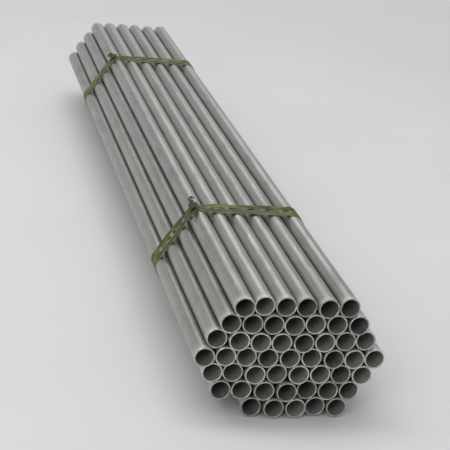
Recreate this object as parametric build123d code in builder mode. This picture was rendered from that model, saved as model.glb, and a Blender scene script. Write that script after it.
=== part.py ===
"""Bundle of round aluminium tubes, held by two ties of flat film twine.

The tubes lie along Y in nested rows, with their front ends at -Y, and +Z is up.
The origin is on the floor under the middle of the bundle, and the bundle lies on
the two ties that go round it. All sizes are in millimetres.
"""

import os
from math import cos, hypot, radians, sin, sqrt
from random import Random

from build123d import *

# Tube: extruded aluminium, sawn to length
tube_od = 22.0
tube_wall = 1.5
tube_length = 1200.0

# Bundle: the seats in each row, bottom row first, and the row and seat left empty
seat_counts = (6, 7, 8, 9, 8, 7, 6)
empty_seats = ((1, 1),)
seat_gap = 0.15  # between two tubes that bear on each other
most_slack = 1.8  # widest gap between two tubes side by side in a row
most_slide = 4.0  # farthest that a tube has slid along the bundle, either way
lay_seed = 23  # picks one of the loose lays that tubes can take

# Tie: one length of twine, wound round twice and knotted on the bundle's shoulder
tie_setback = 250.0  # from the bundle's end to the middle of the tie
strand_width = 13.0
strand_thickness = 1.0
strand_gap = 2.0  # between the two turns, at half the bundle's height
tie_clearance = 0.15  # from the twine to the tubes that it bends over
strand_splay = 1.2  # degrees that each turn leans away from the other
front_lean = 4.0  # degrees that the front tie leans towards the rear at its top
rear_lean = -3.0

# Knot and its two loose ends
knot_angle = 118.0  # degrees round the shoulder tube, from +X
knot_length = 17.0
knot_width = 9.0
knot_height = 6.0
knot_corner = 3.0
knot_chamfer = 2.2
tail_width = 5.0
front_tail = 32.0
rear_tail = 44.0

bore_radius = tube_od / 2 - tube_wall
seat_pitch = tube_od + seat_gap
twine_reach = tube_od / 2 + tie_clearance
lay = Random(lay_seed)


def saddle(left, right):
    """Axis of a tube that lies in the groove between two others."""
    across = right[0] - left[0]
    up = right[1] - left[1]
    span = hypot(across, up)
    rise = sqrt(seat_pitch**2 - (span / 2) ** 2)
    x = (left[0] + right[0]) / 2 - rise * up / span
    z = (left[1] + right[1]) / 2 + rise * across / span
    return x, z


def resting_row(below):
    """Axes of the tubes in the grooves of a row, where a crowded one leans on its neighbour."""
    row = []
    for left, right in zip(below, below[1:]):
        axis = saddle(left, right)
        if row and hypot(axis[0] - row[-1][0], axis[1] - row[-1][1]) < seat_pitch:
            axis = saddle(row[-1], right)
        row.append(axis)
    return row


def spaced(x, side):
    """Place of the next tube along a row, clear of its neighbour by some slack."""
    return x + side * (seat_pitch + lay.uniform(0, most_slack))


def beside(neighbour, below, side):
    """Axis of a row's end tube, which leans out over the end of the row below."""
    x = spaced(neighbour[0], side)
    z = below[1] + sqrt(seat_pitch**2 - (x - below[0]) ** 2)
    return x, z


def laid_rows():
    """Axes of all seats, row by row, as the tubes settle on one another."""
    bottom = [(0.0, 0.0)]
    while len(bottom) < seat_counts[0]:
        bottom.append((spaced(bottom[-1][0], 1), 0.0))
    rows = [bottom]
    for seats in seat_counts[1:]:
        below = rows[-1]
        row = resting_row(below)
        if seats > len(row):
            row.insert(0, beside(row[0], below[0], -1))
            row.append(beside(row[-1], below[-1], 1))
        rows.append(row)
    return rows


def filled_rows():
    """Axes of the tubes alone, centred over the origin and lifted on to the twine."""
    rows = [
        [axis for seat, axis in enumerate(row, 1) if (number, seat) not in empty_seats]
        for number, row in enumerate(laid_rows(), 1)
    ]
    places = [axis[0] for row in rows for axis in row]
    middle = (min(places) + max(places)) / 2
    lift = twine_reach + strand_thickness
    return [[(x - middle, z + lift) for x, z in row] for row in rows]


def corners(axes):
    """Axes that a taut loop round them all would bend over, in order."""

    def one_side(run):
        chain = []
        for x, z in run:
            while len(chain) > 1:
                (x1, z1), (x2, z2) = chain[-2:]
                if (x2 - x1) * (z - z1) > (z2 - z1) * (x - x1):
                    break
                chain.pop()
            chain.append((x, z))
        return chain[:-1]

    ordered = sorted(axes)
    return one_side(ordered) + one_side(ordered[::-1])


tube_rows = filled_rows()
outer_axes = corners([axis for row in tube_rows for axis in row])
middle_height = (tube_rows[0][0][1] + tube_rows[-1][0][1]) / 2
shoulder = tube_rows[-1][0]


def taut_loop(reach):
    """Area inside a loop that passes this far outside the outermost tube axes."""
    with BuildSketch() as area:
        with BuildLine():
            Polyline(*outer_axes, close=True)
        make_face()
        offset(amount=reach, kind=Kind.ARC)
    return area.sketch


def turn_of_twine(place, lean):
    """One turn of twine, cut from a long sleeve by two leaning planes."""
    tilt = radians(lean)
    with BuildPart() as turn:
        with BuildSketch(Plane.XZ.offset(-place)):
            add(taut_loop(twine_reach + strand_thickness))
            add(taut_loop(twine_reach), mode=Mode.SUBTRACT)
        extrude(amount=strand_width + middle_height, both=True)
        for side in (-1, 1):
            edge = Plane(
                origin=(0, place + side * strand_width / 2, middle_height),
                x_dir=(1, 0, 0),
                z_dir=(0, side * cos(tilt), -side * sin(tilt)),
            )
            split(bisect_by=edge, keep=Keep.BOTTOM)
    return turn.part


def knot_plane(place, lean):
    """Plane half-way through the twine on the shoulder tube, its X along Y."""
    tilt = radians(lean)
    turn = radians(knot_angle)
    reach = twine_reach + strand_thickness / 2
    x = shoulder[0] + reach * cos(turn)
    z = shoulder[1] + reach * sin(turn)
    y = place + (z - middle_height) * sin(tilt) / cos(tilt)
    return Plane(origin=(x, y, z), x_dir=(0, 1, 0), z_dir=(cos(turn), 0, sin(turn)))


def finish(piece, name):
    """Name a finished piece and write it to its own file."""
    piece.label = name
    export_step(piece, f"parts/{name}.step")


os.makedirs("parts", exist_ok=True)

# Tubes, row 1 at the bottom and tube 1 at the left as seen from the front
slides = [[lay.uniform(-most_slide, most_slide) for axis in row] for row in tube_rows]
every_slide = [slide for row in slides for slide in row]
mean_slide = (min(every_slide) + max(every_slide)) / 2
for row_number, (row, row_slides) in enumerate(zip(tube_rows, slides), 1):
    for tube_number, (axis, slide) in enumerate(zip(row, row_slides), 1):
        with BuildPart() as tube:
            with BuildSketch(Plane.XZ.offset(mean_slide - slide)):
                with Locations(axis):
                    Circle(tube_od / 2)
                    Circle(bore_radius, mode=Mode.SUBTRACT)
            extrude(amount=tube_length / 2, both=True)
        finish(tube.part, f"row{row_number}_tube{tube_number}")

# Ties
turn_offset = (strand_width + strand_gap) / 2
tie_place = tube_length / 2 - tie_setback
for tie_name, tie_middle, tie_lean in (
    ("front_tie", -tie_place, front_lean),
    ("rear_tie", tie_place, rear_lean),
):
    knot_base = knot_plane(tie_middle, tie_lean)
    with BuildPart() as tie:
        add(turn_of_twine(tie_middle - turn_offset, tie_lean - strand_splay))
        add(turn_of_twine(tie_middle + turn_offset, tie_lean + strand_splay))
        with BuildSketch(knot_base):
            with Locations((-front_tail / 2, 0)):
                Rectangle(front_tail, tail_width)
            with Locations((rear_tail / 2, 0)):
                Rectangle(rear_tail, tail_width)
        extrude(amount=strand_thickness)
        with BuildSketch(knot_base):
            RectangleRounded(knot_length, knot_width, knot_corner)
        knot = extrude(amount=knot_height)
        crown = knot.faces().sort_by(Axis(knot_base.origin, knot_base.z_dir))[-1]
        chamfer(crown.edges(), length=knot_chamfer)
    finish(tie.part, tie_name)
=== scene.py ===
"""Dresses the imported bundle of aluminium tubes.

Fifty mill-finish tubes, sawn square at both ends, lie nested in rows and are held by two
ties of green film twine. Every length is in metres. The tubes run along Y, with the front
at -Y, and Z is up.
"""

import math

import bpy
import numpy as np
from bpy.props import FloatProperty, FloatVectorProperty, IntProperty, PointerProperty
from bpy.types import Operator, Panel, PropertyGroup
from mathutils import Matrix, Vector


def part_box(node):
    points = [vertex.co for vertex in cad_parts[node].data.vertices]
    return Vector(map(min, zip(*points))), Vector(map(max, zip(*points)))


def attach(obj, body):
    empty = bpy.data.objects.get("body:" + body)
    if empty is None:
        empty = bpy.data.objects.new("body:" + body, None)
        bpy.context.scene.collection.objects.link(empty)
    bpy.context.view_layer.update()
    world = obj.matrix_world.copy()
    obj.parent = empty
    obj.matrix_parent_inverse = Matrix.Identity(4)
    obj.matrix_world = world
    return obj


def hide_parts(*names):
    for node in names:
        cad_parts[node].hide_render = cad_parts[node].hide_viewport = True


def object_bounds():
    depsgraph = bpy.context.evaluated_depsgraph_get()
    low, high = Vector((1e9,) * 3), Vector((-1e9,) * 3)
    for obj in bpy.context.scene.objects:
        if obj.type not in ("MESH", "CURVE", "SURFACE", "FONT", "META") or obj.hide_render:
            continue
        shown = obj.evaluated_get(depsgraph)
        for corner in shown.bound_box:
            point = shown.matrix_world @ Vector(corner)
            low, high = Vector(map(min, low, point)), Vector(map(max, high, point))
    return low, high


bl_info = {
    "name": "Bundle of aluminium tubes",
    "version": (1, 0, 0),
    "blender": (4, 5, 0),
    "location": "View3D > Sidebar > Tube bundle",
    "description": "Dresses a packed bundle of aluminium tubes and its two twine ties",
    "category": "Object",
}

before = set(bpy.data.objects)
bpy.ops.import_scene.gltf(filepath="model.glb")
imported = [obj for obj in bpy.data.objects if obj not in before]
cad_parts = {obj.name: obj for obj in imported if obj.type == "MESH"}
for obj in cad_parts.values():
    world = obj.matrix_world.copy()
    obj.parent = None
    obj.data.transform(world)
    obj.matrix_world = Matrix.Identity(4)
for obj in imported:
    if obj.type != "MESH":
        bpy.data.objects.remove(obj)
cad_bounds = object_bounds()

MM = 0.001

# The frame's tubes, row by row from the bottom, each row from the left
TUBE_NODES = sorted(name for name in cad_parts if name.startswith("row"))
SHOULDER_NODE = "row7_tube1"  # the tube under both knots

# The finishes of a tube's faces, in the order of its materials
OUTSIDE, SAWN, BORE = range(3)
SAW_RADIUS = 150 * MM
# The band next to each cut is roughened by brushing, and its colour is painted paler as painted
# light that lifts the shade between the tube ends.
BRUSHED_AND_LIT_REACH = 4.5 * MM  # how far in from a cut the brushing fades away
TUBE_SEED = 50

FILM_CLEARANCE = 0.1 * MM  # between a tube and the underside of the film
LOOP_POINTS = 640

FLOOR_HALF = 15.0
# Name, place, point that it shines on, width and length in metres, and power in watts
LAMPS = (
    ("overhead_lamp", (-0.55, 0.1, 2.6), (0, 0, 0.07), 0.8, 3.4, 34),
    ("front_lamp", (-1.6, -2.6, 1.6), (0, -0.5, 0.07), 1.2, 1.2, 16),
    ("rear_lamp", (0.6, 3.2, 1.9), (0, 0, 0.07), 1.4, 0.6, 6.3),
)


def linear(hex_colour):
    """A colour written as sRGB hex, turned to the linear values that shaders use."""
    srgb = [int(hex_colour[i : i + 2], 16) / 255 for i in (1, 3, 5)]
    return tuple(c / 12.92 if c <= 0.04045 else ((c + 0.055) / 1.055) ** 2.4 for c in srgb)


def corners_of(node):
    """Lowest and highest corner of a CAD node, as arrays."""
    low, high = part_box(node)
    return np.array(low), np.array(high)


def measured_diameter():
    """Outside diameter of the frame's tubes."""
    low, high = corners_of(TUBE_NODES[0])
    return round(float(max(high[0] - low[0], high[2] - low[2])), 4)


def colour_setting(name, description, hex_colour):
    """A colour that a user would change."""
    return FloatVectorProperty(
        name=name,
        description=description,
        default=linear(hex_colour),
        subtype="COLOR",
        min=0,
        max=1,
    )


def size_setting(name, description, default):
    """A length that a user would change."""
    return FloatProperty(name=name, description=description, default=default, unit="LENGTH")


def angle_setting(name, description, degrees):
    """An angle that a user would change."""
    return FloatProperty(
        name=name, description=description, default=math.radians(degrees), unit="ROTATION"
    )


class TubeSettings(PropertyGroup):
    """Sizes and colours of the tubes."""

    diameter: size_setting("Diameter", "Outside diameter of each tube", measured_diameter())
    wall: size_setting("Wall", "Wall thickness of each tube", 1.5 * MM)
    edge: size_setting("Edge", "Radius that the saw leaves on the cut edges", 0.3 * MM)
    nick: size_setting("Nick", "Deepest dent that handling leaves in an end", 0.5 * MM)
    out_of_square: angle_setting("Out of square", "Largest tilt of a saw cut", 1.2)
    sides: IntProperty(name="Sides", description="Flat faces round a tube", default=64, min=12)
    wall_colour: colour_setting("Mill finish", "Colour of the extruded outside", "#A5A5A0")
    cut_colour: colour_setting("Sawn end", "Colour of the sawn ends", "#C2C2BD")
    bore_colour: colour_setting("Bore", "Colour of the dull inside", "#B6B6B0")


class TieSettings(PropertyGroup):
    """Sizes and colours of the film twine that holds the bundle."""

    setback: size_setting("Setback", "From the bundle's middle to each tie", 350 * MM)
    strand: size_setting("Strand", "Width of one gathered turn of twine", 13 * MM)
    gap: size_setting("Gap", "Between the two turns at half the bundle's height", 2 * MM)
    pleat: size_setting("Pleat", "Height of the highest pleats in the film", 1.4 * MM)
    front_lean: angle_setting("Front lean", "How far the front tie's top leans back", 4)
    rear_lean: angle_setting("Rear lean", "How far the rear tie's top leans back", -3)
    splay: angle_setting("Splay", "How far each turn leans away from the other", 1.2)
    knot_turn: angle_setting("Knot", "Place of the knot round the shoulder tube", 118)
    front_tail: size_setting("Front tail", "Loose end that points to the front", 30 * MM)
    rear_tail: size_setting("Rear tail", "Loose end that points to the rear", 38 * MM)
    single_colour: colour_setting("Single layer", "Colour of the film one layer thick", "#A0A760")
    # The pleats' colour is painted paler as painted light and the valleys' darker as painted
    # shade, as lit and shaded copies of the gathered film's green.
    lit_fold_colour: colour_setting("Fold", "Colour of the film on its pleats", "#5F6722")
    shaded_valley_colour: colour_setting("Valley", "Colour of the film between pleats", "#292F10")


class StageSettings(PropertyGroup):
    """The floor, the light and the camera."""

    floor_colour: colour_setting("Floor", "Colour of the pale floor", "#DEDEDC")
    sky_colour: colour_setting("Surroundings", "Colour of the even light", "#D6D8DA")
    low_light: FloatProperty(
        name="Low light",
        description="Strength of the surroundings level with the floor",
        default=0.98,
        min=0,
    )
    high_light: FloatProperty(
        name="High light",
        description="Strength of the surroundings straight above",
        default=0.74,
        min=0,
    )
    azimuth: angle_setting("Azimuth", "How far round from the tubes' axis the camera stands", -18)
    elevation: angle_setting("Elevation", "How far it looks down on the front end", 25)
    roll: angle_setting("Roll", "How far the camera is turned about its line of sight", 7)
    stand_off: size_setting("Stand-off", "From the camera to the front end", 1.47)
    field: angle_setting("Field of view", "Angle that the picture takes in", 18)
    aim: FloatVectorProperty(
        name="Aim",
        description="The point that the camera looks at",
        default=(0.011, -0.22, 0.07),
        subtype="TRANSLATION",
    )


# Meshes


def grid_quads(rows, columns, closed_rows):
    """Quads between neighbouring points of a grid that is numbered row by row.

    Point (r, c) has the number r * columns + c. Each row is a ring, so its last point
    joins its first. Closed rows join the last row to the first as well.
    """
    r = np.arange(rows if closed_rows else rows - 1)[:, None]
    c = np.arange(columns)[None, :]
    r_next = (r + 1) % rows
    c_next = (c + 1) % columns
    ring = [r * columns + c, r * columns + c_next, r_next * columns + c_next, r_next * columns + c]
    return np.stack(np.broadcast_arrays(*ring), axis=-1).reshape(-1, 4)


def cap_quads(first, columns):
    """Quads that zip one ring shut: each joins two points to the two across from them."""
    k = np.arange(columns // 2 - 1)
    return first + np.stack([k, columns - 1 - k, columns - 2 - k, k + 1], axis=-1)


def make_piece(name, points, quads, materials, face_materials=None, values=None):
    """A smooth mesh object at the origin, with named numbers or vectors on its points."""
    mesh = bpy.data.meshes.new(name)
    mesh.vertices.add(len(points))
    mesh.vertices.foreach_set("co", np.asarray(points, np.float32).ravel())
    mesh.loops.add(quads.size)
    mesh.loops.foreach_set("vertex_index", quads.astype(np.int32).ravel())
    mesh.polygons.add(len(quads))
    mesh.polygons.foreach_set("loop_start", np.arange(0, quads.size, 4, dtype=np.int32))
    mesh.polygons.foreach_set("use_smooth", np.ones(len(quads), bool))
    for material in materials:
        mesh.materials.append(material)
    if face_materials is not None:
        mesh.polygons.foreach_set("material_index", face_materials.astype(np.int32))
    mesh.update(calc_edges=True)
    for key, column in (values or {}).items():
        kind, field = ("FLOAT_VECTOR", "vector") if column.ndim == 2 else ("FLOAT", "value")
        layer = mesh.attributes.new(key, kind, "POINT")
        layer.data.foreach_set(field, np.asarray(column, np.float32).ravel())
    piece = bpy.data.objects.new(name, mesh)
    bpy.context.scene.collection.objects.link(piece)
    return piece


def wander(share, waves, rng):
    """A smooth random line that closes on itself, mostly within -1 to 1.

    It is a sum of cosines with whole numbers of waves round the loop, each a little
    weaker than the last. share runs from 0 to 1 round the loop.
    """
    number = np.arange(1, waves + 1)
    size = rng.uniform(0.4, 1.0, waves) / number**0.5
    phase = rng.uniform(0, 2 * np.pi, waves)
    line = np.cos(2 * np.pi * np.outer(share, number) + phase) @ size
    return line / np.sqrt(np.sum(size**2))


# Shader nodes


def add_node(tree, kind, inputs=None, **settings):
    """Adds a node with its settings, and its inputs by number, identifier or name."""
    node = tree.nodes.new(kind)
    for key, value in settings.items():
        setattr(node, key, value)
    named = {socket.identifier: socket for socket in node.inputs}
    for key, value in (inputs or {}).items():
        socket = named.get(key) or node.inputs[key]
        if isinstance(value, bpy.types.NodeSocket):
            tree.links.new(value, socket)
        else:
            socket.default_value = value
    return node


def new_material(name):
    """An empty node material, its tree and its output node."""
    material = bpy.data.materials.new(name)
    material.use_nodes = True
    tree = material.node_tree
    tree.nodes.clear()
    return material, tree, add_node(tree, "ShaderNodeOutputMaterial")


def cells(tree, place, across_mm, along_mm, low, high, detail=2.0):
    """Noise whose cells have a real width and length, as a mask that runs from 0 to 1."""
    across, along = 1 / (across_mm * MM), 1 / (along_mm * MM)
    scaled = add_node(
        tree,
        "ShaderNodeVectorMath",
        {0: place, 1: (across, along, across)},
        operation="MULTIPLY",
    )
    noise = add_node(
        tree,
        "ShaderNodeTexNoise",
        {"Vector": scaled.outputs[0], "Scale": 1.0, "Detail": detail, "Roughness": 0.6},
    )
    mask = add_node(
        tree,
        "ShaderNodeMapRange",
        {"Value": noise.outputs[0], "From Min": low, "From Max": high},
    )
    return mask.outputs[0]


def weighted(tree, start, *parts):
    """start plus each part times its weight."""
    total = start
    for part, weight in parts:
        total = add_node(
            tree, "ShaderNodeMath", {0: part, 1: weight, 2: total}, operation="MULTIPLY_ADD"
        ).outputs[0]
    return total


def mill_finish_aluminium(colour):
    """Aluminium alloy tube, extruded and left as it came off the press.

    The die drags fine lengthwise lines into it, its thin oxide is an even grey, and
    handling leaves a fine mottle, duller smears and a few rubbed spots, which are polished
    and also painted much paler as painted glints. Next to the saw cuts, brushing leaves it
    rougher, and its colour there is painted paler as painted light that lifts the shade in
    the gaps between the tube ends. The eye gets a satin grey whose highlight is a long soft
    streak, broken along the die lines.
    """
    material, tree, output = new_material("extruded_mill_finish_aluminium")
    place = add_node(tree, "ShaderNodeAttribute", attribute_name="tube_place").outputs["Vector"]
    tone = add_node(tree, "ShaderNodeAttribute", attribute_name="tube_tone").outputs["Fac"]
    # Near each cut: roughened by brushing, and painted paler as painted light that lifts the shade
    # in the gaps between the tube ends.
    brushed_and_lit = add_node(tree, "ShaderNodeAttribute", attribute_name="tube_brushed_and_lit").outputs["Fac"]
    # Die lines are about 0.1 mm apart in the metal, and drawn 1.2 mm apart so that they show.
    die_lines = cells(tree, place, 1.2, 400, 0.3, 0.7, detail=3.0)
    bands = cells(tree, place, 6, 900, 0.3, 0.7)
    smears = cells(tree, place, 9, 60, 0.45, 0.75, detail=3.0)
    # Rubbed spots are polished, and their colour is also painted much paler as painted glints.
    rubs_and_glints = cells(tree, place, 1.6, 9, 0.66, 0.76, detail=3.0)
    mottle = cells(tree, place, 4, 14, 0.35, 0.65, detail=3.0)
    # This lightness holds painted glints on the rubbed spots and painted light near the cuts.
    light = weighted(
        tree,
        0.77,
        (tone, 0.14),
        (bands, 0.12),
        (mottle, 0.1),
        (die_lines, 0.2),
        (smears, -0.18),
        (rubs_and_glints, 0.8),
        (brushed_and_lit, 1.1),
    )
    roughness = weighted(
        tree,
        0.24,
        (bands, 0.06),
        (mottle, 0.06),
        (die_lines, 0.08),
        (smears, 0.12),
        (rubs_and_glints, -0.14),
        (brushed_and_lit, 0.3),
    )
    shade = add_node(
        tree, "ShaderNodeVectorMath", {0: tuple(colour), "Scale": light}, operation="SCALE"
    )
    height = weighted(tree, die_lines, (mottle, 0.7))
    bump = add_node(
        tree, "ShaderNodeBump", {"Height": height, "Distance": 0.05 * MM, "Strength": 1.0}
    )
    shader = add_node(
        tree,
        "ShaderNodeBsdfPrincipled",
        {
            "Base Color": shade.outputs[0],
            "Metallic": 1.0,
            "Roughness": roughness,
            "Normal": bump.outputs[0],
        },
    )
    tree.links.new(shader.outputs[0], output.inputs["Surface"])
    return material


def sawn_aluminium(colour):
    """The same alloy where a circular saw has cut it.

    The blade leaves a bright face with shallow arcs across it. The eye gets a rim that is
    paler than the mill finish, with random patches painted paler still as painted glints.
    """
    material, tree, output = new_material("sawn_aluminium")
    place = add_node(tree, "ShaderNodeAttribute", attribute_name="saw_place").outputs["Vector"]
    tone = add_node(tree, "ShaderNodeAttribute", attribute_name="tube_tone").outputs["Fac"]
    # Saw marks are about 0.3 mm apart on the metal, and drawn 0.9 mm apart so that they show.
    marks = cells(tree, place, 0.9, 14, 0.3, 0.7)
    dull = cells(tree, place, 7, 7, 0.45, 0.7)
    # Painted glints: random patches of the rim are painted paler, as highlights.
    painted_glints = cells(tree, place, 4, 11, 0.56, 0.68)
    light = weighted(tree, 0.6, (tone, 0.4), (marks, 0.3), (dull, -0.25), (painted_glints, 0.55))
    shade = add_node(
        tree, "ShaderNodeVectorMath", {0: tuple(colour), "Scale": light}, operation="SCALE"
    )
    bump = add_node(
        tree, "ShaderNodeBump", {"Height": marks, "Distance": 0.09 * MM, "Strength": 1.0}
    )
    shader = add_node(
        tree,
        "ShaderNodeBsdfPrincipled",
        {
            "Base Color": shade.outputs[0],
            "Metallic": 1.0,
            "Roughness": weighted(tree, 0.26, (marks, 0.06), (dull, 0.12)),
            "Normal": bump.outputs[0],
        },
    )
    tree.links.new(shader.outputs[0], output.inputs["Surface"])
    return material


def bore_aluminium(colour):
    """The inside of the same tube, extruded over the die's core and never handled.

    It keeps the core's lines and the dull film of the press lubricant, so the eye gets a
    deep grey that only the light at the mouth lifts.
    """
    material, tree, output = new_material("extruded_aluminium_bore")
    place = add_node(tree, "ShaderNodeAttribute", attribute_name="tube_place").outputs["Vector"]
    tone = add_node(tree, "ShaderNodeAttribute", attribute_name="tube_tone").outputs["Fac"]
    # The core's lines are about 0.1 mm apart, and drawn 1.5 mm apart so that they show.
    lines = cells(tree, place, 1.5, 300, 0.3, 0.7)
    film = cells(tree, place, 8, 40, 0.4, 0.7)
    light = weighted(tree, 0.52, (tone, 0.44), (lines, 0.08), (film, -0.2))
    shade = add_node(
        tree, "ShaderNodeVectorMath", {0: tuple(colour), "Scale": light}, operation="SCALE"
    )
    bump = add_node(
        tree, "ShaderNodeBump", {"Height": lines, "Distance": 0.015 * MM, "Strength": 1.0}
    )
    shader = add_node(
        tree,
        "ShaderNodeBsdfPrincipled",
        {
            "Base Color": shade.outputs[0],
            "Metallic": 0.35,
            "Roughness": weighted(tree, 0.46, (film, 0.14)),
            "Normal": bump.outputs[0],
        },
    )
    tree.links.new(shader.outputs[0], output.inputs["Surface"])
    return material


def film_twine(single_colour, lit_fold_colour, shaded_valley_colour):
    """Polypropylene film twine, tinted olive, drawn out and gathered into a strand.

    Single layers let the metal's light through, at the margins and where the gathers have
    opened, and layers gathered over each other don't. Drawing splits the film into fine
    lengthwise fibres. The gathered film's green is painted paler on the ridges of its pleats
    as painted light and darker between them as painted shade. The eye gets a dark green
    strand with glossy pleats and a pale see-through margin.
    """
    material, tree, output = new_material("drawn_polypropylene_film")
    place = add_node(tree, "ShaderNodeAttribute", attribute_name="film_place").outputs["Vector"]
    pleat = add_node(tree, "ShaderNodeAttribute", attribute_name="film_pleat").outputs["Fac"]
    layers = add_node(tree, "ShaderNodeAttribute", attribute_name="film_layers").outputs["Fac"]
    # Drawn fibres are about 0.1 mm wide, and drawn 0.6 mm wide so that they show.
    fibres = cells(tree, place, 0.6, 25, 0.3, 0.7, detail=3.0)
    patches = cells(tree, place, 8, 22, 0.35, 0.65)
    opened = cells(tree, place, 25, 50, 0.5, 0.66)
    gathered = weighted(tree, 0.0, (layers, 1.0), (opened, -0.45))
    # Painted light and shade: the ridges of the pleats get the paler colour, the valleys the
    # darker one.
    pleat_shading = weighted(tree, -0.3, (pleat, 0.8), (fibres, 0.35), (patches, 0.35))
    pleat_shaded = add_node(
        tree,
        "ShaderNodeMix",
        {"Factor_Float": pleat_shading, "A_Color": (*shaded_valley_colour, 1), "B_Color": (*lit_fold_colour, 1)},
        data_type="RGBA",
        clamp_factor=True,
    )
    colour = add_node(
        tree,
        "ShaderNodeMix",
        {
            "Factor_Float": gathered,
            "A_Color": (*single_colour, 1),
            "B_Color": pleat_shaded.outputs[2],
        },
        data_type="RGBA",
        clamp_factor=True,
    )
    bump = add_node(
        tree, "ShaderNodeBump", {"Height": fibres, "Distance": 0.07 * MM, "Strength": 1.0}
    )
    shader = add_node(
        tree,
        "ShaderNodeBsdfPrincipled",
        {
            "Base Color": colour.outputs[2],
            "Roughness": weighted(tree, 0.28, (fibres, 0.15)),
            "IOR": 1.49,
            "Alpha": weighted(tree, 0.22, (gathered, 0.58), (pleat, 0.3), (patches, 0.1)),
            "Normal": bump.outputs[0],
        },
    )
    tree.links.new(shader.outputs[0], output.inputs["Surface"])
    return material


def matt_floor(floor_colour, sky_colour, low_light):
    """Painted board, rolled matt: the eye gets a plain pale ground with a faint mottle.

    Between 1 and 3.5 m out, what the camera, metal and glass see of it turns into the
    surroundings as they are level with the floor, so that no horizon shows. Nothing else
    takes light from it.
    """
    material, tree, output = new_material("rolled_matt_paint")
    place = add_node(tree, "ShaderNodeTexCoord").outputs["Object"]
    mottle = cells(tree, place, 300, 300, 0.3, 0.7)
    light = weighted(tree, 0.98, (mottle, 0.03))
    shade = add_node(
        tree, "ShaderNodeVectorMath", {0: tuple(floor_colour), "Scale": light}, operation="SCALE"
    )
    paint = add_node(
        tree, "ShaderNodeBsdfPrincipled", {"Base Color": shade.outputs[0], "Roughness": 0.8}
    )
    distance = add_node(tree, "ShaderNodeVectorMath", {0: place}, operation="LENGTH").outputs[1]
    far = add_node(
        tree,
        "ShaderNodeMapRange",
        {"Value": distance, "From Min": 1.0, "From Max": 3.5},
        interpolation_type="SMOOTHSTEP",
    ).outputs[0]
    light_path = add_node(tree, "ShaderNodeLightPath").outputs
    rays = [light_path[f"Is {kind} Ray"] for kind in ("Camera", "Glossy", "Transmission")]
    seen = weighted(tree, 0.0, *((ray, far) for ray in rays))
    surroundings = add_node(
        tree, "ShaderNodeEmission", {"Color": (*sky_colour, 1), "Strength": low_light}
    )
    mixed = add_node(
        tree, "ShaderNodeMixShader", {0: seen, 1: paint.outputs[0], 2: surroundings.outputs[0]}
    )
    tree.links.new(mixed.outputs[0], output.inputs["Surface"])
    return material


# Tubes


def tube_section(settings, length):
    """The closed outline that a tube's wall is turned from: radius, place and finish.

    It runs along the outside from front to rear, round the rear end's two edges, back
    along the bore and round the front end's. Each cut edge is a quarter circle. A finish
    is that of the face after its point.
    """
    outside = settings.diameter / 2
    inside = outside - settings.wall
    edge = settings.edge
    half = length / 2
    # Rings stand close together near the ends, where nicks bend the wall.
    from_end = np.array([1.2, 2.5, 4.5, 7, 11, 18, 45, 120, 280]) * MM
    straight = np.concatenate([from_end - half, half - from_end[::-1]])
    turn = np.radians([0, 30, 60, 90])
    out_r, out_y = outside - edge + edge * np.cos(turn), half - edge + edge * np.sin(turn)
    in_r, in_y = inside + edge - edge * np.cos(turn), half - edge + edge * np.sin(turn)
    run = [
        (np.full(len(straight), outside), straight, OUTSIDE),
        (out_r, out_y, SAWN),
        (in_r[::-1], in_y[::-1], SAWN),
        (np.full(len(straight), inside), straight[::-1], BORE),
        (in_r, -in_y, SAWN),
        (out_r[::-1], -out_y[::-1], SAWN),
    ]
    radius = np.concatenate([part[0] for part in run])
    place = np.concatenate([part[1] for part in run])
    finish = np.concatenate([np.full(len(part[0]), part[2]) for part in run])
    # Deburring brightens the outside's last 1.2 mm as well, but not the bore's.
    finish[len(straight) - 1] = SAWN
    finish[len(straight) + 2 * len(turn) - 1] = BORE
    return radius, place, finish


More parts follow.
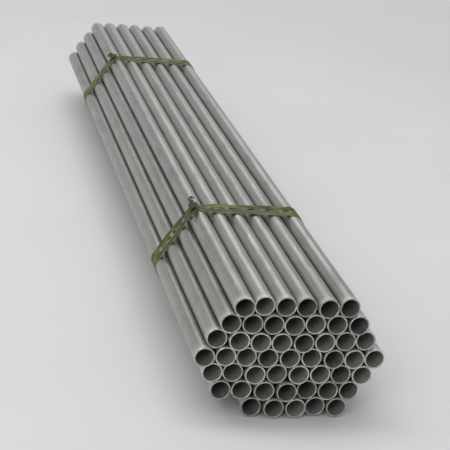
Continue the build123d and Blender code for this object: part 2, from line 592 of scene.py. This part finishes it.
def make_tube(node, settings, materials, rng):
    """One tube, turned from its wall's outline about the axis of its CAD node.

    A point at angle t has the place (x, z) = axis + r (cos t, sin t). Near an end, r is
    less by a nick, a bell curve round the tube that fades away from the end, and the end
    leans by its saw cut's tilt. The patterns' places are turned and moved by chance, so
    that no two tubes look alike.
    """
    low, high = corners_of(node)
    axis = (low + high) / 2
    radius, along, finish = tube_section(settings, high[1] - low[1])
    angle = np.arange(settings.sides) / settings.sides * 2 * np.pi
    half = (high[1] - low[1]) / 2
    r = np.repeat(radius[:, None], settings.sides, axis=1)
    y = np.repeat(along[:, None], settings.sides, axis=1)
    tilt_fade = 1.5 * MM
    for end in (-1, 1):
        from_end = np.abs(end * half - y)
        depth = settings.nick * rng.uniform(0, 1) ** 2
        spread = rng.uniform(2.5, 5) * MM
        away = (angle - rng.uniform(0, 2 * np.pi) + np.pi) % (2 * np.pi) - np.pi
        bell = np.exp(-((away * settings.diameter / 2 / spread) ** 2))
        r = r - depth * bell * np.exp(-((from_end / (1.6 * spread)) ** 2))
        tilt = math.tan(settings.out_of_square) * rng.uniform(0, 1)
        lean = np.cos(angle - rng.uniform(0, 2 * np.pi))
        y = y + tilt * r * lean * np.exp(-from_end / tilt_fade)
    x, z = r * np.cos(angle), r * np.sin(angle)
    points = np.stack([axis[0] + x, axis[1] + y, axis[2] + z], axis=-1).reshape(-1, 3)
    # The section runs clockwise as the angle grows, so each quad is turned over.
    quads = grid_quads(len(radius), settings.sides, closed_rows=True)[:, ::-1]

    roll, cut = rng.uniform(0, 2 * np.pi, 2)
    start = rng.uniform(0, 40)
    turned = [x * np.cos(roll) - z * np.sin(roll), y + start, x * np.sin(roll) + z * np.cos(roll)]
    # Saw marks lie along arcs of the blade's radius. The third number keeps the ends apart.
    feed = x * np.cos(cut) - z * np.sin(cut)
    reach = x * np.sin(cut) + z * np.cos(cut)
    saw = [feed + reach**2 / (2 * SAW_RADIUS), reach + start, np.sign(y) * 0.05]
    tone = rng.uniform(0, 1)
    piece = make_piece(
        node.replace("tube", "aluminium_tube"),
        points,
        quads,
        materials,
        np.repeat(finish, settings.sides),
        {
            "tube_place": np.stack(turned, axis=-1).reshape(-1, 3),
            "saw_place": np.stack(saw, axis=-1).reshape(-1, 3),
            "tube_tone": np.full(len(points), tone),
            # Nearness to a cut: the brushing band, which is also painted paler as painted light.
            "tube_brushed_and_lit": np.exp(-(half - np.abs(y)) / BRUSHED_AND_LIT_REACH).ravel(),
        },
    )
    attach(piece, "root")
    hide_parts(node)


class BUNDLE_OT_lay_tubes(Operator):
    """Makes every tube where its CAD node lies"""

    bl_idname = "bundle.lay_tubes"
    bl_label = "Lay the tubes"

    def execute(self, context):
        settings = context.scene.tube_settings
        if settings.wall * 2 >= settings.diameter:
            raise ValueError("the wall must be thinner than the tube's radius")
        materials = [
            mill_finish_aluminium(settings.wall_colour),
            sawn_aluminium(settings.cut_colour),
            bore_aluminium(settings.bore_colour),
        ]
        rng = np.random.default_rng(TUBE_SEED)
        for node in TUBE_NODES:
            make_tube(node, settings, materials, rng)
        return {"FINISHED"}


# Ties


def outer_axes():
    """Axes (x, z) of the tubes that a taut loop round the bundle bends over, in order.

    They are the corners of the convex outline of all the axes. Each side of it is found by
    going along the sorted axes and dropping those that the outline passes outside of.
    """
    axes = sorted(tuple(np.mean(corners_of(node), axis=0)[[0, 2]]) for node in TUBE_NODES)

    def one_side(run):
        chain = []
        for x, z in run:
            while len(chain) > 1:
                (x1, z1), (x2, z2) = chain[-2:]
                if (x2 - x1) * (z - z1) > (z2 - z1) * (x - x1):
                    break
                chain.pop()
            chain.append((x, z))
        return chain[:-1]

    return np.array(one_side(axes) + one_side(axes[::-1]))


def taut_loop(corners, reach, count):
    """Points evenly spaced along a loop drawn tight round discs on the corners.

    The loop is an arc of radius reach round each corner and then a straight run beside
    the polygon's side. Gives each point's (x, z), its outward normal and the loop's length.
    """
    side = np.roll(corners, -1, axis=0) - corners
    run = np.hypot(side[:, 0], side[:, 1])
    heading = np.arctan2(-side[:, 0], side[:, 1])
    turn = (heading - np.roll(heading, 1)) % (2 * np.pi)
    ends = np.concatenate([[0], np.cumsum(np.stack([reach * turn, run], axis=1).ravel())])
    travelled = np.arange(count) / count * ends[-1]
    part = np.searchsorted(ends, travelled, side="right") - 1
    corner, straight = part // 2, part % 2
    past = travelled - ends[part]
    angle = heading[corner] + np.where(straight, 0, past / reach - turn[corner])
    normal = np.stack([np.cos(angle), np.sin(angle)], axis=1)
    forward = side[corner] / run[corner, None] * (straight * past)[:, None]
    return corners[corner] + normal * reach + forward, normal, ends[-1]


def bearing_on_tubes(loop):
    """How fully each point of the loop bears on a tube: 1 on a crest, towards 0 between.

    It is e to the power of minus the gap to the nearest tube over the depth that the film
    fills.
    """
    filled_depth = 1.5 * MM
    axes = np.array([np.mean(corners_of(node), axis=0)[[0, 2]] for node in TUBE_NODES])
    nearest = np.linalg.norm(loop[:, None, :] - axes[None, :, :], axis=2).min(axis=1)
    return np.exp(-(nearest - measured_diameter() / 2) / filled_depth)


def film_strip(line, half_width, thickness, pleat, rng, closed, belly=0.0, fullness=0.0):
    """Points of a gathered strip of film along a line, with its pleats and its own places.

    The line is its points, its outward directions and its directions across. Across the
    strip, a runs from -1 to 1 over the outer side and back over the inner one. A point
    stands a * half_width to the side of the line. On the outer side it stands out by
    thickness * sqrt(1 - a^2) plus pleat times two rows of ridges, squared raised cosines
    of a whose phases wander along the line. The inner side stands in by belly times the
    same lens. Fullness says how tightly the film is bunched: at 0 it has margins of one
    layer, and at 1 it is gathered all over, with lower ridge heights that give it more of
    the painted valley shade. Gives the points, each row a ring, and each point's ridge
    height, share of layers and place across and along the film.
    """
    centre, outward, across = line
    count = len(centre)
    outer = np.linspace(-1, 1, 49)
    inner = np.linspace(1, -1, 9)[1:-1]
    a = np.concatenate([outer, inner])[None, :]
    is_outer = (np.arange(a.size) < outer.size)[None, :]
    share = np.arange(count) / (count if closed else count - 1)
    ridges = np.zeros((count, a.size))
    for number, size in ((3.0, 0.65), (6.5, 0.35)):
        phase = 2.8 * wander(share, 7, rng)[:, None] + rng.uniform(0, 2 * np.pi)
        strength = 0.72 + 0.32 * wander(share, 17, rng)[:, None]
        ridges += size * strength * (0.5 + 0.5 * np.cos(number * np.pi * a + phase)) ** 2
    ridges = np.clip(ridges, 0, 1.3)
    lens = np.sqrt(np.clip(1 - a**2, 0, 1))
    height = thickness[:, None] * lens + pleat * ridges * np.clip(1.6 * lens, 0, 1)
    height = np.where(is_outer, height, -belly * thickness[:, None] * lens)
    # Where the floor is close under the strip, the film is pressed flat against it.
    down = np.clip(-outward[:, 2], 1e-3, 1)
    room = np.where(outward[:, 2] < -0.2, centre[:, 2] / down, 1.0)[:, None]
    height = np.where(is_outer, height / (1 + (height / room) ** 6) ** (1 / 6), height)
    points = (
        centre[:, None, :]
        + across[:, None, :] * (a * half_width[:, None])[..., None]
        + outward[:, None, :] * height[..., None]
    )
    # The margin where the film is one layer thick is wider in some places than in others.
    margin = np.stack([0.3 + 0.14 * wander(share, 19, rng) for edge in range(2)])
    layers = np.where(a < 0, (1 + a) / margin[0][:, None], (1 - a) / margin[1][:, None])
    layers = fullness + (1 - fullness) * np.clip(layers, 0, 1)
    step = np.linalg.norm(np.roll(centre, -1, axis=0) - centre, axis=1)
    travelled = np.concatenate([[0], np.cumsum(step[:-1])])
    place = np.stack(
        np.broadcast_arrays(a * half_width[:, None], travelled[:, None], rng.uniform(0, 1)),
        axis=-1,
    )
    return points, ridges * (1 - 0.6 * fullness) - 0.35 * fullness, layers, place


def turn_strip(tie, lean, offset, width, settings, rng):
    """One turn of twine round the bundle, spread on each tube and gathered at the knot.

    Its middle line is the taut loop, moved along the tubes by the lean times the height,
    by its offset from the other turn and by a slow wander. Its width is most on a tube's
    crest, where the pull presses it flat, and least where it bridges two tubes.
    """
    gather_reach, sway = 22 * MM, 0.9 * MM
    loop, normal, length = tie["loop"]
    count = len(loop)
    share = np.arange(count) / count
    apart = np.minimum(share, 1 - share) * length
    gather = np.exp(-((apart / gather_reach) ** 2))
    middle = (loop[:, 1].min() + loop[:, 1].max()) / 2
    y = tie["place"] + (loop[:, 1] - middle) * math.tan(lean) + offset * (1 - 0.5 * gather)
    y = y + sway * wander(share, 9, rng) * (1 - gather)
    centre = np.stack([loop[:, 0], y, loop[:, 1]], axis=1)
    outward = np.stack([normal[:, 0], np.zeros(count), normal[:, 1]], axis=1)
    across = np.tile([0.0, 1.0, 0.0], (count, 1))
    spread = 0.86 + 0.2 * tie["bearing"] + 0.1 * wander(share, 16, rng)
    half_width = width / 2 * spread * (1 - 0.5 * gather)
    thickness = (0.75 - 0.35 * tie["bearing"] + 0.8 * gather) * MM
    line = (centre, outward, across)
    return film_strip(line, half_width, thickness, settings.pleat, rng, True)


def frames_along(line, up):
    """Directions up and across at each point of a line, both square to it."""
    ahead = np.gradient(line, axis=0)
    ahead /= np.linalg.norm(ahead, axis=1, keepdims=True)
    up = up - ahead * np.sum(up * ahead, axis=1, keepdims=True)
    up /= np.linalg.norm(up, axis=1, keepdims=True)
    return up, np.cross(ahead, up)


def knot_strip(origin, outward, rng):
    """The knot: a strand drawn along a flattened trefoil.

    The trefoil is (sin t + 2 sin 2t, cos t - 2 cos 2t, -sin 3t), scaled along the tubes,
    round the tube and away from it.
    """
    t = np.arange(150) / 150 * 2 * np.pi
    along_tube = np.array([0.0, 1.0, 0.0])
    round_tube = np.cross(outward, along_tube)
    line = (
        origin
        + np.outer(np.sin(t) + 2 * np.sin(2 * t), along_tube * 2.3 * MM)
        + np.outer(np.cos(t) - 2 * np.cos(2 * t), round_tube * 1.5 * MM)
        + np.outer(-np.sin(3 * t), outward * 1.3 * MM)
    )
    up, across = frames_along(np.concatenate([line[-3:], line, line[:3]]), outward)
    half_width = 2.1 * MM * (1 + 0.15 * wander(t / (2 * np.pi), 5, rng))
    thickness = np.full(len(t), 1.2 * MM)
    line = (line, up[3:-3], across[3:-3])
    return film_strip(line, half_width, thickness, 0.5 * MM, rng, True, belly=1.0, fullness=0.8)


def tail_strip(tie, side, length, rng):
    """A loose end: a cord of twisted film that lies on the shoulder tube and curls at its tip.

    Its heading in the tube's unrolled surface is a slow wave that ends in a curl of a
    little over half a turn, and its place is the sum of small steps along that heading,
    wrapped back on to the tube. It twists as it goes, and opens flat at the tip.
    """
    curl_start, curl, twists, flat_start = 0.72, 3.6, 4, 0.88
    radius = measured_diameter() / 2
    count = 110
    t = np.linspace(0, 1, count)
    bend = np.clip((t - curl_start) / (1 - curl_start), 0, 1)
    heading = 0.55 * np.sin(2 * np.pi * (1.15 * t + rng.uniform(0, 1))) * (1 - 0.6 * bend)
    heading = heading + rng.choice([-1, 1]) * curl * bend**1.5 + rng.uniform(-0.25, 0.25)
    step = length / (count - 1)
    along = np.cumsum(np.cos(heading)) * step * side
    round_tube = np.cumsum(np.sin(heading)) * step
    rise = (2.4 - 1.2 * t + 1.1 * np.sin(np.pi * t) ** 2 * rng.uniform(0.3, 1.0)) * MM
    rise = rise + 1.6 * MM * bend
    reach = radius + rise
    angle = tie["knot_turn"] + round_tube / radius
    outward = np.stack([np.cos(angle), np.zeros(count), np.sin(angle)], axis=1)
    axis = tie["shoulder"]
    line = np.stack(
        [axis[0] + reach * np.cos(angle), tie["seat"][1] + along, axis[1] + reach * np.sin(angle)],
        axis=1,
    )
    up, across = frames_along(line, outward)
    twist = 2 * np.pi * twists * t
    turned_up = up * np.cos(twist)[:, None] + across * np.sin(twist)[:, None]
    turned_across = across * np.cos(twist)[:, None] - up * np.sin(twist)[:, None]
    opened = np.clip((t - flat_start) / (1 - flat_start), 0, 1) ** 2
    half_width = (1.9 - 0.7 * t + 1.3 * opened) * MM * (1 + 0.12 * wander(0.8 * t, 9, rng))
    thickness = (1.15 - 0.5 * t - 0.4 * opened) * MM
    line = (line, turned_up, turned_across)
    return film_strip(line, half_width, thickness, 0.3 * MM, rng, False, belly=1.0, fullness=0.85)


def make_tie(settings, name, node, side, lean, seed):
    """Both turns of one tie with their knot and loose ends, as one piece.

    Side is -1 for the tie near the front and 1 for the one near the rear.
    """
    material = bpy.data.materials.get("drawn_polypropylene_film") or film_twine(
        settings.single_colour, settings.lit_fold_colour, settings.shaded_valley_colour
    )
    rng = np.random.default_rng(seed)
    reach = measured_diameter() / 2 + FILM_CLEARANCE
    loop, normal, length = taut_loop(outer_axes(), reach, LOOP_POINTS)
    low, high = corners_of(SHOULDER_NODE)
    shoulder = ((low + high) / 2)[[0, 2]]
    knot_normal = np.array([math.cos(settings.knot_turn), math.sin(settings.knot_turn)])
    on_shoulder = shoulder + knot_normal * reach
    # The loop starts and ends under the knot, which hides where the film's pattern meets.
    knot_row = np.argmin(np.hypot(*(loop - on_shoulder).T))
    loop, normal = np.roll(loop, -knot_row, axis=0), np.roll(normal, -knot_row, axis=0)
    middle = (loop[:, 1].min() + loop[:, 1].max()) / 2
    place = side * settings.setback
    seat = np.array(
        [on_shoulder[0], place + (on_shoulder[1] - middle) * math.tan(lean), on_shoulder[1]]
    )
    tie = {
        "loop": (loop, normal, length),
        "bearing": bearing_on_tubes(loop),
        "knot_turn": settings.knot_turn,
        "place": place,
        "shoulder": shoulder,
        "seat": seat,
    }
    outward = np.array([knot_normal[0], 0.0, knot_normal[1]])
    knot_height = 3.6 * MM
    offset = (settings.strand + settings.gap) / 2
    wide, narrow = 1.06 * settings.strand, 0.94 * settings.strand
    strips = [
        (turn_strip(tie, lean - settings.splay, -offset, wide, settings, rng), True),
        (turn_strip(tie, lean + settings.splay, offset, narrow, settings, rng), True),
        (knot_strip(seat + outward * knot_height, outward, rng), True),
        (tail_strip(tie, -1, settings.front_tail, rng), False),
        (tail_strip(tie, 1, settings.rear_tail, rng), False),
    ]
    points, quads, first = [], [], 0
    values = {"film_pleat": [], "film_layers": [], "film_place": []}
    for (grid, *film), closed in strips:
        rows, columns = grid.shape[:2]
        faces = [grid_quads(rows, columns, closed)]
        if not closed:
            last = cap_quads((rows - 1) * columns, columns)
            faces += [cap_quads(0, columns), last[:, ::-1]]
        quads.append(first + np.concatenate(faces))
        points.append(grid.reshape(-1, 3))
        for column, value in zip(values.values(), film):
            column.append(value.reshape(rows * columns, -1).squeeze())
        first += rows * columns
    piece = make_piece(
        name,
        np.concatenate(points),
        np.concatenate(quads),
        [material],
        values={key: np.concatenate(column) for key, column in values.items()},
    )
    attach(piece, "root")
    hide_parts(node)


class BUNDLE_OT_wind_front_tie(Operator):
    """Winds and knots the tie near the front end"""

    bl_idname = "bundle.wind_front_tie"
    bl_label = "Wind the front tie"

    def execute(self, context):
        settings = context.scene.tie_settings
        make_tie(settings, "front_film_tie", "front_tie", -1, settings.front_lean, seed=7)
        return {"FINISHED"}


class BUNDLE_OT_wind_rear_tie(Operator):
    """Winds and knots the tie near the rear end"""

    bl_idname = "bundle.wind_rear_tie"
    bl_label = "Wind the rear tie"

    def execute(self, context):
        settings = context.scene.tie_settings
        make_tie(settings, "rear_film_tie", "rear_tie", 1, settings.rear_lean, seed=8)
        return {"FINISHED"}


# Stage


def area_lamp(name, place, aim, width, length, power):
    """A soft white rectangular lamp that the camera doesn't see."""
    lamp = bpy.data.lights.new(name, "AREA")
    lamp.shape = "RECTANGLE"
    lamp.size, lamp.size_y = width, length
    lamp.energy = power
    holder = bpy.data.objects.new(name, lamp)
    holder.location = place
    back = np.array(place) - np.array(aim)
    holder.rotation_euler = Vector(back).to_track_quat("Z", "Y").to_euler()
    holder.visible_camera = False
    bpy.context.scene.collection.objects.link(holder)


class BUNDLE_OT_set_stage(Operator):
    """Sets the floor, the light and the camera round the bundle"""

    bl_idname = "bundle.set_stage"
    bl_label = "Set the stage"

    def execute(self, context):
        settings = context.scene.stage_settings
        scene = context.scene
        corner = np.array([[-1, -1, 0], [1, -1, 0], [1, 1, 0], [-1, 1, 0]]) * FLOOR_HALF
        paint = matt_floor(settings.floor_colour, settings.sky_colour, settings.low_light)
        floor = make_piece("floor", corner, np.array([[0, 1, 2, 3]]), [paint])

        world = bpy.data.worlds.new("even_light")
        world.use_nodes = True
        sky = world.node_tree.nodes["Background"]
        sky.inputs["Color"].default_value = (*settings.sky_colour, 1)
        # The surroundings are pale round the horizon and darker above, so that a tube's
        # sides mirror more light than its top.
        heading = add_node(world.node_tree, "ShaderNodeTexCoord").outputs["Generated"]
        rise = add_node(world.node_tree, "ShaderNodeSeparateXYZ", {0: heading}).outputs[2]
        strength = add_node(
            world.node_tree,
            "ShaderNodeMapRange",
            {
                "Value": rise,
                "From Min": 0.1,
                "From Max": 0.4,
                "To Min": settings.low_light,
                "To Max": settings.high_light,
            },
            interpolation_type="SMOOTHSTEP",
        )
        world.node_tree.links.new(strength.outputs[0], sky.inputs["Strength"])
        scene.world = world
        for lamp in LAMPS:
            area_lamp(*lamp)

        camera = bpy.data.cameras.new("camera")
        camera.sensor_width = 36
        camera.lens = camera.sensor_width / 2 / math.tan(settings.field / 2)
        holder = bpy.data.objects.new("camera", camera)
        scene.collection.objects.link(holder)
        front = Vector((0, cad_bounds[0][1], (cad_bounds[0][2] + cad_bounds[1][2]) / 2))
        back = Vector(
            (
                math.sin(settings.azimuth) * math.cos(settings.elevation),
                -math.cos(settings.azimuth) * math.cos(settings.elevation),
                math.sin(settings.elevation),
            )
        )
        holder.location = front + back * settings.stand_off
        view = holder.location - Vector(settings.aim)
        holder.rotation_euler = view.to_track_quat("Z", "Y").to_euler()
        # The rows of tubes slope away to one side, and the roll brings them level.
        holder.rotation_euler.rotate_axis("Z", settings.roll)
        scene.camera = holder
        scene.view_settings.view_transform = "Standard"
        return {"FINISHED"}


class BUNDLE_PT_panel(Panel):
    """Lists what the add-on makes, with its sizes and colours"""

    bl_label = "Tube bundle"
    bl_idname = "BUNDLE_PT_panel"
    bl_space_type = "VIEW_3D"
    bl_region_type = "UI"
    bl_category = "Tube bundle"

    def draw(self, context):
        for group, operators in PANEL_PARTS.items():
            settings = getattr(context.scene, group)
            box = self.layout.box()
            for key in settings.bl_rna.properties.keys():
                if key not in ("rna_type", "name"):
                    box.prop(settings, key)
            for operator in operators:
                box.operator(operator.bl_idname)


PANEL_PARTS = {
    "tube_settings": (BUNDLE_OT_lay_tubes,),
    "tie_settings": (BUNDLE_OT_wind_front_tie, BUNDLE_OT_wind_rear_tie),
    "stage_settings": (BUNDLE_OT_set_stage,),
}
SETTINGS = {
    "tube_settings": TubeSettings,
    "tie_settings": TieSettings,
    "stage_settings": StageSettings,
}
CLASSES = (
    *SETTINGS.values(),
    BUNDLE_OT_lay_tubes,
    BUNDLE_OT_wind_front_tie,
    BUNDLE_OT_wind_rear_tie,
    BUNDLE_OT_set_stage,
    BUNDLE_PT_panel,
)


def register():
    """Registers the classes and hangs the settings on the scene."""
    for kind in CLASSES:
        bpy.utils.register_class(kind)
    for key, kind in SETTINGS.items():
        setattr(bpy.types.Scene, key, PointerProperty(type=kind))


def unregister():
    """Takes back what register did."""
    for key in SETTINGS:
        delattr(bpy.types.Scene, key)
    for kind in reversed(CLASSES):
        bpy.utils.unregister_class(kind)


def main():
    """Makes the tubes, the ties and the stage."""
    register()
    bpy.ops.bundle.lay_tubes()
    bpy.ops.bundle.wind_front_tie()
    bpy.ops.bundle.wind_rear_tie()
    bpy.ops.bundle.set_stage()


if __name__ == "__main__":
    main()
